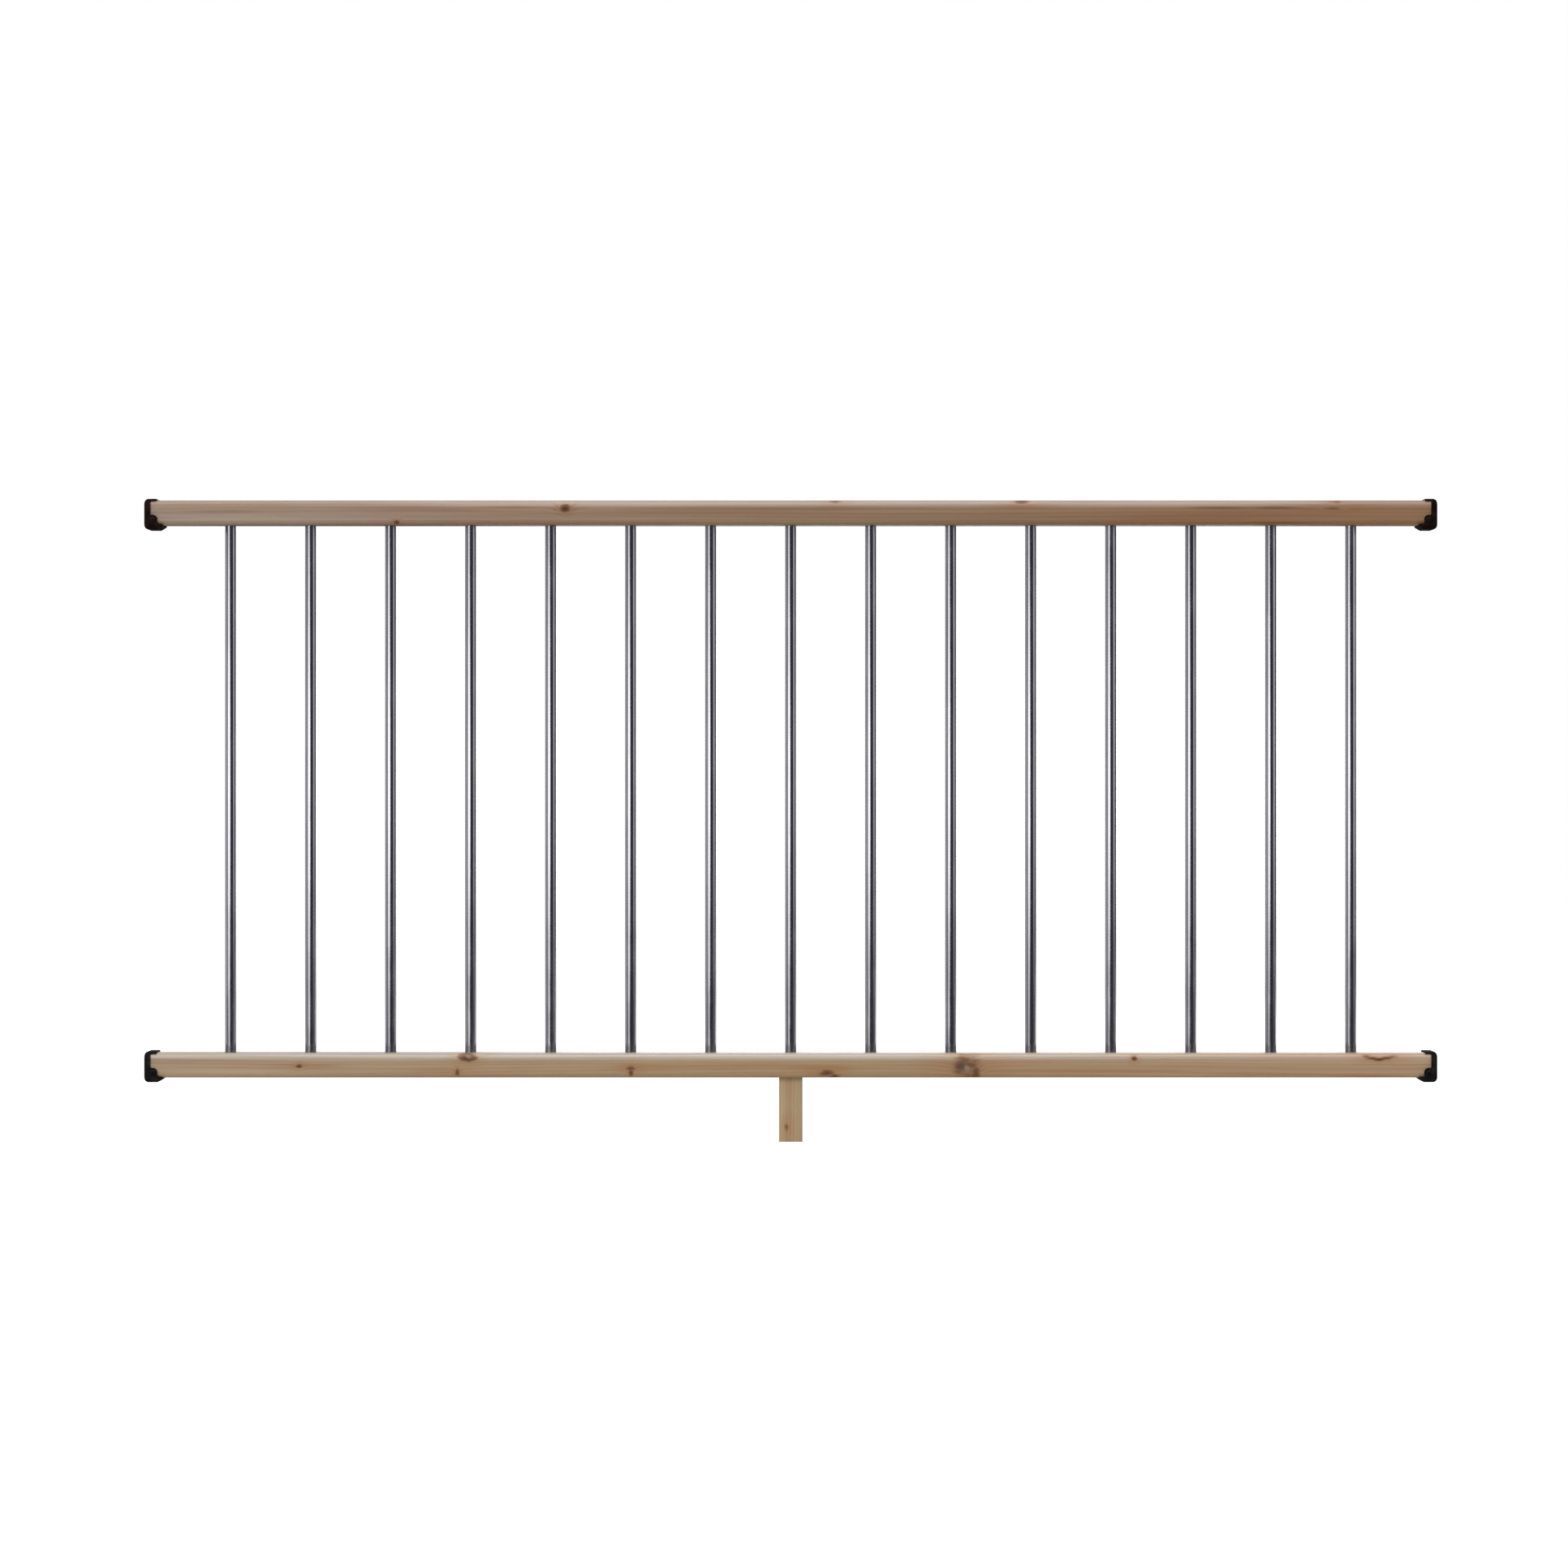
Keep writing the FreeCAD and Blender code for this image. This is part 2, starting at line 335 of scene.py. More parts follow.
# %% Growth rings
RING_WIDTH = 3.4
RING_WIDTH_CHANGE = 3.0
RING_CHANGE_SPANS = (1400.0, 24.0, 24.0)
PITH_WANDER = 16.0
PITH_WANDER_SPANS = (900.0, 120.0, 120.0)
LATE_WOOD_RISE = (0.2, 0.85)
LATE_WOOD_END = (1.0, 0.88)


def late_wood_in(place, pith, swell, seed):
    """How much of a point's wood is late wood. Pith is its place across the board and its height."""
    _, across, height = parts_of(place)
    lean = stretched_noise(place, PITH_WANDER_SPANS, detail=1.0, shift=seed)
    uneven = stretched_noise(place, RING_CHANGE_SPANS, detail=1.0, shift=seed + 7.0)
    sideways = across - pith[0]
    upwards = height - pith[1]
    radius = (sideways * sideways + upwards * upwards) ** 0.5 + lean * PITH_WANDER + swell
    ring = place.math("FRACT", radius / RING_WIDTH + uneven * RING_WIDTH_CHANGE)
    return smooth_rise(ring, *LATE_WOOD_RISE) * smooth_rise(ring, *LATE_WOOD_END)


print("growth rings are about", RING_WIDTH, "mm apart")

# %% [markdown]
# One board changes its colour slowly: the top rail turns from a greyish tan at the left to a warmer brown
# at the right. Over that lie pale and brown bands as long as an arm, and rosy and olive clouds. They are
# soft and long, because a planed and sealed rail shows little contrast. The upper side of a rail gets a
# painted sheen: a pale colour, mixed in over its rounded edges and a little way down the faces, stands in
# for the light that those edges catch from above. It is weaker where the wood is brown.

# %% Board tones
PALE_BAND = ((1.12, 1.13, 1.13), 0.50, 0.72)
BROWN_BAND = ((0.93, 0.88, 0.84), 0.50, 0.28)
ROSY_CLOUD = ((1.03, 0.95, 0.92), 0.52, 0.70)
OLIVE_CLOUD = ((0.97, 0.99, 0.92), 0.48, 0.30)
# Painted sheen: a pale colour for the light on a rail's rounded upper edges, from these heights up.
PAINTED_SHEEN_FROM = 5.0
PAINTED_SHEEN_TO = 11.8
PAINTED_SHEEN_WANDER = 4.0
PAINTED_SHEEN_SHARE = 0.75
BROWN_KEPT = 0.5


def along_board(along, half_length, colours):
    """Three colours that follow each other from the board's left end to its right end."""
    colour = mixed(colours[0], colours[1], smooth_rise(along, -half_length, 0.0))
    return mixed(colour, colours[2], smooth_rise(along, 0.0, half_length))


def clouded(colour, band, cloud):
    """A colour with bands and clouds: a tint each, and the noise at which it starts and is full."""
    for noise, tone in ((band, PALE_BAND), (band, BROWN_BAND), (cloud, ROSY_CLOUD), (cloud, OLIVE_CLOUD)):
        tint, start, full = tone
        colour = shaded(colour, tint, smooth_rise(noise, start, full))
    return colour


def painted_sheen_amount(height, band, brown):
    """How much painted sheen a point gets, from its height above the board's middle."""
    wandering = height + (band - 0.5) * PAINTED_SHEEN_WANDER
    return smooth_rise(wandering, PAINTED_SHEEN_FROM, PAINTED_SHEEN_TO) * PAINTED_SHEEN_SHARE * (1.0 - brown * BROWN_KEPT)


print("bleached from", PAINTED_SHEEN_FROM, "to", PAINTED_SHEEN_TO, "mm above a rail's middle")

# %% [markdown]
# Four noises, all stretched along the board, serve these tones: bands, clouds, the ragged borders of knots
# and the fibres. Each is taken from another part of the same endless noise, and a board's seed shifts them
# all, so that no two boards are alike. Knots and streaks read a place mirrored in the board's middle, so
# they show on its back too, as a branch that runs through it does.

# %% Board patterns
BAND_SPANS = (640.0, 40.0, 9.0)
CLOUD_SPANS = (330.0, 30.0, 14.0)
RAGGED_SPANS = (14.0, 10.0, 6.0)
FIBRE_SPANS = (80.0, 0.8, 0.8)


def board_patterns(place, seed):
    """Bands, clouds, ragged borders, which lie about 0, and fibres."""
    band = stretched_noise(place, BAND_SPANS, shift=seed + 3.0)
    cloud = stretched_noise(place, CLOUD_SPANS, shift=seed + 11.0)
    ragged = stretched_noise(place, RAGGED_SPANS, shift=seed + 31.0) - 0.5
    fibre = stretched_noise(place, FIBRE_SPANS, shift=seed + 17.0)
    return band, cloud, ragged, fibre


def on_both_faces(along, across, height):
    """A place whose back half is folded over to the front."""
    folded = {"X": along, "Y": along.math("ABSOLUTE", across) * -1.0, "Z": height}
    return along.node("ShaderNodeCombineXYZ", None, folded)


print("bands are about", BAND_SPANS[0], "mm long and fibres", FIBRE_SPANS[1], "mm wide")

# %% [markdown]
# The cedar puts these together, from coarse to fine: board colours, bands and clouds, the painted sheen on
# the upper side, streaks, the late wood at the end of each ring, fibres, and knots. A light sealer gives the
# satin sheen, and the rings and fibres vary it and add a faint bump, as wood does. One function makes every
# board, and the support block, which stands upright, has its place turned by a quarter first.

# %% Cedar
LATE_WOOD = (0.87, 0.83, 0.78)
LATE_WOOD_CLOUDS = (0.20, 0.65)
FIBRE = (0.90, 0.88, 0.85)
DARK_FIBRES = (0.50, 0.75)
STREAK_WANDER = 1.2
HEART_WANDER = 1.6
KNOT_RAGGEDNESS = 0.5
SATIN = 0.33
GRAIN_DEPTH = 0.2 * MM
GRAIN_STRENGTH = 0.3


def cedar(
    name, box, colours, knots, streaks=(), hearts=(), pith=(58.0, -74.0), upright=False, seed=0.0, sheen=0.3,
    bleached=None, brown_ends=(),
):
    """A finish for one board, with a pale painted sheen over its upper side where colours for it are given,
    less so along the stretches in brown_ends.
    """
    low, high = box
    middle = (low + high) / 2
    front = (low.y - middle.y) / MM
    half_length = (high.x - low.x) / 2 / MM
    finish, wood = new_finish(name)
    place = place_in_millimetres(wood, middle)
    if upright:
        quarter = {"Vector": place, "Angle": math.pi / 2}
        place = wood.node("ShaderNodeVectorRotate", {"rotation_type": "Y_AXIS"}, quarter)
    along, across, height = parts_of(place)
    both_faces = on_both_faces(along, across, height)
    band, cloud, ragged, fibre = board_patterns(place, seed)
    depth, swell = knots_in(both_faces, knots, front)
    depth = depth + ragged * KNOT_RAGGEDNESS
    late_wood = late_wood_in(place, pith, swell, seed)
    brown = sum(smooth_rise(along, start, end) for start, end in brown_ends)

    colour = clouded(along_board(along, half_length, colours), band, cloud)
    # Painted sheen: a pale colour mixed over the upper side, for the light the rounded edges catch.
    if bleached:
        pale = along_board(along, half_length, bleached)
        colour = mixed(colour, pale, painted_sheen_amount(height, band, brown))
    colour = streaked(colour, both_faces, streaks, front, (band - 0.5) * STREAK_WANDER)
    colour = shaded(colour, LATE_WOOD, late_wood * smooth_rise(cloud, *LATE_WOOD_CLOUDS))
    colour = shaded(colour, FIBRE, smooth_rise(fibre, *DARK_FIBRES))
    colour = hearted(knotted(colour, depth), both_faces, hearts, front, ragged * HEART_WANDER)
    roughness = SATIN + late_wood * 0.05 + fibre * 0.08 + brown * 0.25
    relief = late_wood * 0.35 + fibre * 0.4 + smooth_rise(depth, 0.0, 0.4) * 0.6
    bump = bumped(relief, GRAIN_STRENGTH, GRAIN_DEPTH)
    end_in_shader(
        wood, {"Base Color": colour, "Roughness": roughness, "Normal": bump, "Specular IOR Level": sheen}
    )
    return finish


print("cedar has a satin roughness from", SATIN)

# %% [markdown]
# The rails, the block and the brackets keep their CAD shapes and only need a finish. It could go into the
# mesh's own slots, but the mesh belongs to the frame, so each slot is switched to the object first.

# %% Dressing a CAD piece
def dress(node_name, finish):
    """Gives a CAD piece its finish through the object's own material slots."""
    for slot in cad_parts[node_name].material_slots:
        slot.link = "OBJECT"
        slot.material = finish
    print(node_name, "is dressed in", finish.name, "with", len(finish.node_tree.nodes), "nodes")


print("CAD pieces to dress: three of cedar and", len(bracket_names), "brackets")

# %% [markdown]
# The top rail is the board that a hand runs along. Its front is nearly clear: one dark knot in the left
# half, a small one at the lower edge, faint ones at the top edge, and dark streaks towards the right end.
# Its seed picks the bands and clouds, and its two ends are browner than the middle.

# %% Top rail
top_knots = [
    (-321.5, 5.6, 9, 7, 40, 0.95),
    (-561, -14, 5.4, 4.8, 20, 0.65),
    (328, 15.5, 11, 4, 26, 0.65),
    (62, 15.5, 9, 3, 20, 0.28),
    (777, 15.5, 9, 3, 20, 0.32),
    (771, 5.4, 22, 3, 16, 0.45),
]
top_streaks = [
    (-770, -9, 260, 8, (1.12, 1.15, 1.20)),
    (-800, 8, 160, 6, (1.02, 0.95, 0.90)),
    (-800, 1.5, 70, 3, (0.86, 0.80, 0.76)),
    (-540, 4.5, 140, 6.5, (0.90, 0.78, 0.74)),
    (-390, 7.5, 90, 2.6, (0.78, 0.66, 0.58)),
    (-318, 6.5, 48, 5, (0.84, 0.76, 0.64)),
    (-70, 3, 260, 8, (0.92, 0.85, 0.81)),
    (0, -12.5, 330, 5, (0.98, 1.06, 0.98)),
    (330, 9, 70, 5.5, (0.95, 0.80, 0.70)),
    (610, 6.5, 60, 2.6, (0.66, 0.56, 0.46)),
    (690, 6.5, 40, 2.6, (0.66, 0.56, 0.46)),
    (620, -6, 250, 6.5, (0.97, 0.86, 0.76)),
    (690, -15, 70, 2.8, (0.78, 0.70, 0.60)),
]
top_colours = [rgb(146, 126, 110), rgb(143, 116, 92), rgb(143, 105, 73)]
# Colours of the painted sheen on the upper edge, from the left end to the right end.
top_painted_sheen = [rgb(183, 161, 146), rgb(187, 169, 160), rgb(193, 174, 162)]
top_brown_ends = [(-430, -640), (620, 840)]
top_cedar = cedar(
    "cedar_top", top_box, top_colours, top_knots, top_streaks, seed=2.0,
    bleached=top_painted_sheen, brown_ends=top_brown_ends,
)
dress("top_rail", top_cedar)

# %% [markdown]
# The bottom rail is knottier. A large knot with a grey heart sits right of the middle, in a brown wedge
# of disturbed grain, and a wide pinkish one shows at the top edge on the left, with smaller ones between
# them. A bent knot is a chain of small ones, as at the right end.

# %% Bottom rail knots
bottom_knots = [
    (-700, -0.9, 5.4, 3.4, 20, 0.65),
    (-460, 11.5, 15, 7.5, 26, 0.75),
    (-474.5, -9.5, 3.8, 6, 20, 0.60),
    (-227.5, -4.3, 9, 3.8, 20, 0.52),
    (-227.5, -10.5, 3.6, 7, 20, 0.50),
    (52, -10.5, 13, 5.4, 30, 0.55),
    (62, -15, 9, 3.6, 30, 0.55),
    (250, -2, 23, 19, 45, 0.42),
    (263, -10.5, 8, 15, 40, 0.50),
    (489, 9.6, 4.8, 4.2, 20, 0.58),
    (838, 8.4, 10, 2.8, 20, 0.60),
    (828, 10.4, 9, 2.6, 20, 0.40),
    (820, 13, 8, 2.4, 20, 0.30),
    (848, 10.2, 9, 2.6, 20, 0.40),
    (857, 12.6, 8, 2.4, 20, 0.28),
]
bottom_hearts = [
    (246, -4.5, 16, 12, rgb(142, 110, 84)),
    (242, -1.5, 10, 8.5, rgb(82, 57, 47)),
    (251, -3.8, 4.6, 5.2, rgb(144, 127, 108)),
    (-459, 12, 5.5, 3.4, rgb(160, 122, 102)),
]
print("bottom rail:", len(bottom_knots), "knots and", len(bottom_hearts), "hearts")

# %% [markdown]
# The bottom rail's own colour is an even tan. Its streaks are brown wedges beside the knots and pale
# sapwood at the left end. It is sealed a little glossier than the top rail, and its upper side has a
# paler painted sheen, most of all in the middle.

# %% Bottom rail
bottom_streaks = [
    (-800, -8, 110, 6.5, (1.08, 1.11, 1.16)),
    (-690, -0.6, 70, 5, (0.93, 0.80, 0.70)),
    (-500, -7, 70, 7, (0.97, 0.88, 0.78)),
    (-215, -3, 70, 7, (0.97, 0.86, 0.77)),
    (-80, 0, 150, 6, (0.97, 0.92, 0.86)),
    (40, -6, 60, 9, (0.97, 0.86, 0.77)),
    (330, 4, 100, 6, (1.04, 0.96, 0.94)),
    (440, -9, 170, 4, (0.97, 0.86, 0.78)),
    (700, -12, 200, 4.5, (0.97, 0.87, 0.79)),
    (838, 6, 60, 6, (0.99, 0.90, 0.84)),
    (820, -14.5, 70, 3, (0.93, 0.76, 0.62)),
]
bottom_colours = [rgb(168, 144, 117), rgb(172, 144, 111), rgb(179, 149, 119)]
# Colours of the painted sheen on the upper edge, from the left end to the right end.
bottom_painted_sheen = [rgb(191, 181, 168), rgb(207, 200, 188), rgb(196, 170, 153)]
bottom_cedar = cedar(
    "cedar_bottom", bottom_box, bottom_colours, bottom_knots, bottom_streaks, bottom_hearts, seed=5.0,
    sheen=0.36, bleached=bottom_painted_sheen,
)
dress("bottom_rail", bottom_cedar)

# %% [markdown]
# The support block is a short offcut stood on end, so its grain runs upright and its foot shows end
# grain. The same cedar is used with its place turned by a quarter, which lays the log's axis along the
# block. Its one small knot is faint and sits low on the front.

# %% Support block
block_knots = [(-24, 6, 5, 3, 10, 0.25)]
block_colours = [rgb(181, 156, 123)] * 3
block_cedar = cedar(
    "cedar_block", block_box, block_colours, block_knots, pith=(40.0, 66.0), upright=True, seed=9.0
)
dress("support_block", block_cedar)

# %% [markdown]
# The balusters are fifteen equal tubes, let into both rails and evenly spaced. A row like that is one
# shape and one rule, which is what Geometry Nodes are for. Two helpers open and end every tree. It gets a
# named input for each size, so it can make other sizes too, and at its end the instances become real
# meshes, because an export would drop them.

# %% Geometry trees
SOCKET_KINDS = {
    int: "NodeSocketInt",
    float: "NodeSocketFloat",
    Vector: "NodeSocketVector",
    bpy.types.Material: "NodeSocketMaterial",
}


def new_tree(name, sizes):
    """A geometry tree with one input for a mesh and one for each size. Returns it and its input wires."""
    tree = bpy.data.node_groups.new(name, "GeometryNodeTree")
    for in_out in ("INPUT", "OUTPUT"):
        tree.interface.new_socket("Geometry", in_out=in_out, socket_type="NodeSocketGeometry")
    for title, value in sizes.items():
        tree.interface.new_socket(title, in_out="INPUT", socket_type=SOCKET_KINDS[type(value)])
    titles = ["Geometry", *sizes]
    wires = Wire(tree).node("NodeGroupInput", result=titles)
    return tree, dict(zip(titles, wires))


def end_tree(instances, finish):
    """Makes instances real and sets their finish."""
    real = instances.node("GeometryNodeRealizeInstances", None, {"Geometry": instances})
    dressed = real.node("GeometryNodeSetMaterial", None, {"Geometry": real, "Material": finish})
    dressed.node("NodeGroupOutput", None, {"Geometry": dressed})


print("geometry trees will make", len(baluster_names), "balusters and", len(screw_names), "screws")

# %% [markdown]
# A tree runs as a modifier. Left on the piece, it would have to travel with it, so it is run once on a
# carrier, its result is kept as a plain mesh, and the carrier is removed. Meshes are shaded smooth up to
# their sharp rims, because a rim that is shaded smooth bends the light on the long faces beside it.

# %% From a tree to a mesh
RIM_ANGLE = math.radians(50.0)


def crisp_rims(mesh):
    """Shades a mesh smooth but keeps its sharp rims."""
    values = {"Geometry": mesh, "Shade Smooth": True}
    smooth = mesh.node("GeometryNodeSetShadeSmooth", {"domain": "FACE"}, values)
    angle = mesh.node("GeometryNodeInputMeshEdgeAngle", result="Unsigned Angle")
    rim = mesh.node("FunctionNodeCompare", {"operation": "GREATER_THAN"}, {0: angle, 1: RIM_ANGLE})
    values = {"Geometry": smooth, "Selection": rim, "Shade Smooth": False}
    return mesh.node("GeometryNodeSetShadeSmooth", {"domain": "EDGE"}, values)


def put_in_scene(name, data):
    """A new object at the origin."""
    thing = bpy.data.objects.new(name, data)
    bpy.context.scene.collection.objects.link(thing)
    return thing


def made_by_tree(name, start, tree, sizes):
    """Runs a tree on a start mesh and returns a plain mesh object at the origin."""
    carrier = put_in_scene(name + "_carrier", start)
    modifier = carrier.modifiers.new("tree", "NODES")
    modifier.node_group = tree
    for socket in tree.interface.items_tree:
        if socket.name in sizes:
            modifier[socket.identifier] = sizes[socket.name]
    evaluated = carrier.evaluated_get(bpy.context.evaluated_depsgraph_get())
    mesh = bpy.data.meshes.new_from_object(evaluated)
    bpy.data.objects.remove(carrier)
    mesh.name = name
    return put_in_scene(name, mesh)


print("rims sharper than", round(math.degrees(RIM_ANGLE)), "degrees stay crisp")

# %% [markdown]
# The balusters are dark polished metal, which has little colour of its own and shows what stands around
# it. Drawing a tube leaves fine lines along it, and handling leaves faint smears, so a noise stretched
# along the tube and a soft blotchy one vary the roughness and, a little, the colour. At the foot, a narrow
# ring is rougher and darker: the darkening is painted shade where the tube goes into the rail. Metallic
# stays at 1 all over.

# %% Baluster metal
DARK_METAL = (0.272, 0.267, 0.300, 1.0)
SMEARED_METAL = (0.322, 0.316, 0.346, 1.0)
DRAWN_SPANS = (0.5, 0.5, 160.0)
SMEAR_SPANS = (14.0, 14.0, 60.0)
SMEAR_COLOURED = (0.35, 0.70)
SMEAR_DULLED = (0.45, 0.75)
POLISH = 0.11
# The foot ring, from its top down to where it is full: rougher, and darkened by painted shade.
FOOT_RING_TOP = 16.0
FOOT_RING_FULL = 6.4
FOOT_SHADE_TINT = (0.56, 0.55, 0.55)


def drawn_metal(name):
    finish, metal = new_finish(name)
    place = place_in_millimetres(metal, (0.0, 0.0, bottom_box[1].z))
    _, _, height = parts_of(place)
    drawn = stretched_noise(place, DRAWN_SPANS, shift=4.0)
    smear = stretched_noise(place, SMEAR_SPANS, shift=8.0)
    rough_shaded_foot = smooth_rise(height, FOOT_RING_TOP, FOOT_RING_FULL)
    colour = mixed(DARK_METAL, SMEARED_METAL, smooth_rise(smear, *SMEAR_COLOURED))
    # Painted shade where the tube goes into the bottom rail.
    colour = shaded(colour, FOOT_SHADE_TINT, rough_shaded_foot)
    roughness = POLISH + drawn * 0.04 + smooth_rise(smear, *SMEAR_DULLED) * 0.05 + rough_shaded_foot * 0.13
    end_in_shader(metal, {"Base Color": colour, "Metallic": 1.0, "Roughness": roughness})
    return finish


baluster_metal = drawn_metal("baluster_metal")
print("baluster metal:", len(baluster_metal.node_tree.nodes), "nodes")

# %% [markdown]
# All the sizes of the row come from the CAD balusters, except the wall, which a box can't show. The tubes
# are rounder than the CAD meshes, because polished metal shows every facet.

# %% Baluster sizes
BALUSTER_WALL = 1.25 * MM
BALUSTER_SIDES = 72

first_low, first_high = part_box(baluster_names[0])
last_low, last_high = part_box(baluster_names[-1])
first_middle = (first_low + first_high) / 2
last_middle = (last_low + last_high) / 2
row_sizes = {
    "Count": len(baluster_names),
    "First": first_middle,
    "Step": (last_middle - first_middle) / (len(baluster_names) - 1),
    "Diameter": first_high.x - first_low.x,
    "Wall": BALUSTER_WALL,
    "Length": first_high.z - first_low.z,
    "Sides": BALUSTER_SIDES,
    "Finish": baluster_metal,
}
print("balusters are", round(row_sizes["Step"].x, 4), "m apart")

# %% [markdown]
# The row is a line of evenly stepped points, and a tube on each point. The tube is a tall thin rectangle
# swept round a circle, so that it has its real wall and open ends. A cylinder would have been quicker,
# but it has no wall. The fifteen tubes are one mesh, since they belong to one body.

# %% Balusters
row_tree, row = new_tree("baluster_row", row_sizes)
build = Wire(row_tree)
line_sizes = {"Count": row["Count"], "Start Location": row["First"], "Offset": row["Step"]}
points = build.node("GeometryNodeMeshLine", {"mode": "OFFSET"}, line_sizes)
circle_sizes = {"Resolution": row["Sides"], "Radius": (row["Diameter"] - row["Wall"]) / 2}
circle = build.node("GeometryNodeCurvePrimitiveCircle", {"mode": "RADIUS"}, circle_sizes)
section_sizes = {"Width": row["Wall"], "Height": row["Length"]}
section = build.node("GeometryNodeCurvePrimitiveQuadrilateral", {"mode": "RECTANGLE"}, section_sizes)
tube = build.node("GeometryNodeCurveToMesh", None, {"Curve": circle, "Profile Curve": section})
tubes = build.node("GeometryNodeInstanceOnPoints", None, {"Points": points, "Instance": crisp_rims(tube)})
end_tree(tubes, row["Finish"])
balusters = made_by_tree("balusters", bpy.data.meshes.new("baluster_start"), row_tree, row_sizes)
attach(balusters, "root")
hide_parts(*baluster_names)
print("balusters:", len(balusters.data.polygons), "faces", [round(s, 4) for s in balusters.dimensions])

# %% [markdown]
# The brackets are moulded sockets of a dark plastic. Moulding leaves a fine pebbled skin, slightly
# glossier where the tool was polished, so a fine noise makes the bump and a wider one varies the
# roughness. The upper pair is a brownish black and the lower pair a neutral one, so one function makes
# both finishes.

# %% Bracket moulding
PEBBLE_SPANS = (0.7, 0.7, 0.7)
PEBBLE_DEPTH = 0.12 * MM
PEBBLE_STRENGTH = 0.25
PATCH_SPANS = (11.0, 11.0, 11.0)
WORN_PATCHES = (0.38, 0.68)
MOULDED = 0.68


def moulding(name, tone, worn_tone):
    finish, plastic = new_finish(name)
    place = place_in_millimetres(plastic, (0.0, 0.0, 0.0))
    pebble = stretched_noise(place, PEBBLE_SPANS, shift=6.0)
    patch = stretched_noise(place, PATCH_SPANS, detail=3.0, shift=12.0)
    colour = mixed(tone, worn_tone, smooth_rise(patch, *WORN_PATCHES))
    roughness = MOULDED + pebble * 0.10 + patch * 0.10
    bump = bumped(pebble, PEBBLE_STRENGTH, PEBBLE_DEPTH)
    end_in_shader(
        plastic, {"Base Color": colour, "Roughness": roughness, "Normal": bump, "Specular IOR Level": 0.01}
    )
    return finish


brown_black = moulding("bracket_moulding_top", rgb(20, 12, 10), rgb(35, 22, 18))
plain_black = moulding("bracket_moulding_bottom", rgb(24, 22, 23), rgb(40, 37, 36))
for bracket in bracket_names:
    dress(bracket, brown_black if "top" in bracket else plain_black)

# %% [markdown]
# Each bracket ear takes one screw into the rail, from the front and from the back. The screws are
# blackened steel: a dark coat, rubbed through to grey metal here and there on the heads. Where it is
# rubbed through the surface is metal, and elsewhere it isn't, so one mask drives colour, Metallic and
# roughness.

# %% Screw metal
BLACK_COAT = (0.006, 0.005, 0.005, 1.0)
BARE_STEEL = (0.05, 0.047, 0.045, 1.0)
RUB_SPANS = (1.6, 1.6, 1.6)
RUBBED_THROUGH = (0.56, 0.80)
COATED = 0.6


def blackened_steel(name):
    finish, steel = new_finish(name)
    place = place_in_millimetres(steel, (0.0, 0.0, 0.0))
    rub = stretched_noise(place, RUB_SPANS, detail=3.0, shift=2.0)
    worn = smooth_rise(rub, *RUBBED_THROUGH)
    colour = mixed(BLACK_COAT, BARE_STEEL, worn)
    roughness = COATED - worn * 0.15
    end_in_shader(
        steel, {"Base Color": colour, "Metallic": worn, "Roughness": roughness, "Specular IOR Level": 0.05}
    )
    return finish


screw_metal = blackened_steel("screw_metal")
print("screw metal:", len(screw_metal.node_tree.nodes), "nodes")

# %% [markdown]
# A box shows how wide the head and how long the screw is, but not the head's height, the shank's radius
# or the tip, so these repeat the CAD sizes. They are millimetres in the tree, and the instances are scaled
# down as they are placed, because cutting works best on sizes near 1.

# %% Screw sizes
HEAD_HEIGHT = 2.6

screw_low, screw_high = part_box(screw_names[0])
screw_sizes = {
    "Head Radius": (screw_high.x - screw_low.x) / 2 / MM,
    "Head Height": HEAD_HEIGHT,
    "Recess Length": 4.6,
    "Recess Width": 1.1,
    "Recess Depth": 1.6,
    "Shank Radius": 2.1,
    "Shank Length": (screw_high.y - screw_low.y) / MM - HEAD_HEIGHT,
    "Tip Length": 5.0,
    "Thread Pitch": 1.8,
    "Scale": MM,
    "Finish": screw_metal,
}
print("screws are", round((screw_high.y - screw_low.y) / MM, 1), "mm long")

# %% [markdown]
# Eight equal screws are again one shape on a few points, so Geometry Nodes make them. The head is a
# rounded pan: a disc whose rings are lifted along a superellipse. A squashed ball would be quicker, but
# it has no flat back to lie on the ear.

# %% Screw head
HEAD_SIDES = 40
HEAD_RINGS = 10
SQUARENESS = 2 / 3
SMALLEST_REACH = 1e-4
WELD_DISTANCE = 0.001


def welded(mesh):
    """A mesh whose doubled corners are made one."""
    return mesh.node("GeometryNodeMergeByDistance", None, {"Geometry": mesh, "Distance": WELD_DISTANCE})


screw_tree, part = new_tree("ear_screw", screw_sizes)
build = Wire(screw_tree)
disc_sizes = {"Vertices": HEAD_SIDES, "Fill Segments": HEAD_RINGS, "Radius": part["Head Radius"]}
disc = build.node("GeometryNodeMeshCylinder", {"fill_type": "TRIANGLE_FAN"}, disc_sizes)
spot = build.node("GeometryNodeInputPosition")
flat_x, flat_y, flat_z = parts_of(spot)
reach = (flat_x * flat_x + flat_y * flat_y) ** 0.5 / part["Head Radius"]
slope = reach * (math.pi / 2)
cosine = build.math("MAXIMUM", build.math("COSINE", slope), 0.0)
spread = build.math("SINE", slope) ** SQUARENESS / build.math("MAXIMUM", reach, SMALLEST_REACH)
upper = build.node("FunctionNodeCompare", {"operation": "GREATER_THAN"}, {0: flat_z, 1: 0.0})
lifts = {"Switch": upper, "False": 0.0, "True": part["Head Height"] * cosine ** SQUARENESS}
lift = build.node("GeometryNodeSwitch", {"input_type": "FLOAT"}, lifts)
domed = build.node("ShaderNodeCombineXYZ", None, {"X": flat_x * spread, "Y": flat_y * spread, "Z": lift})
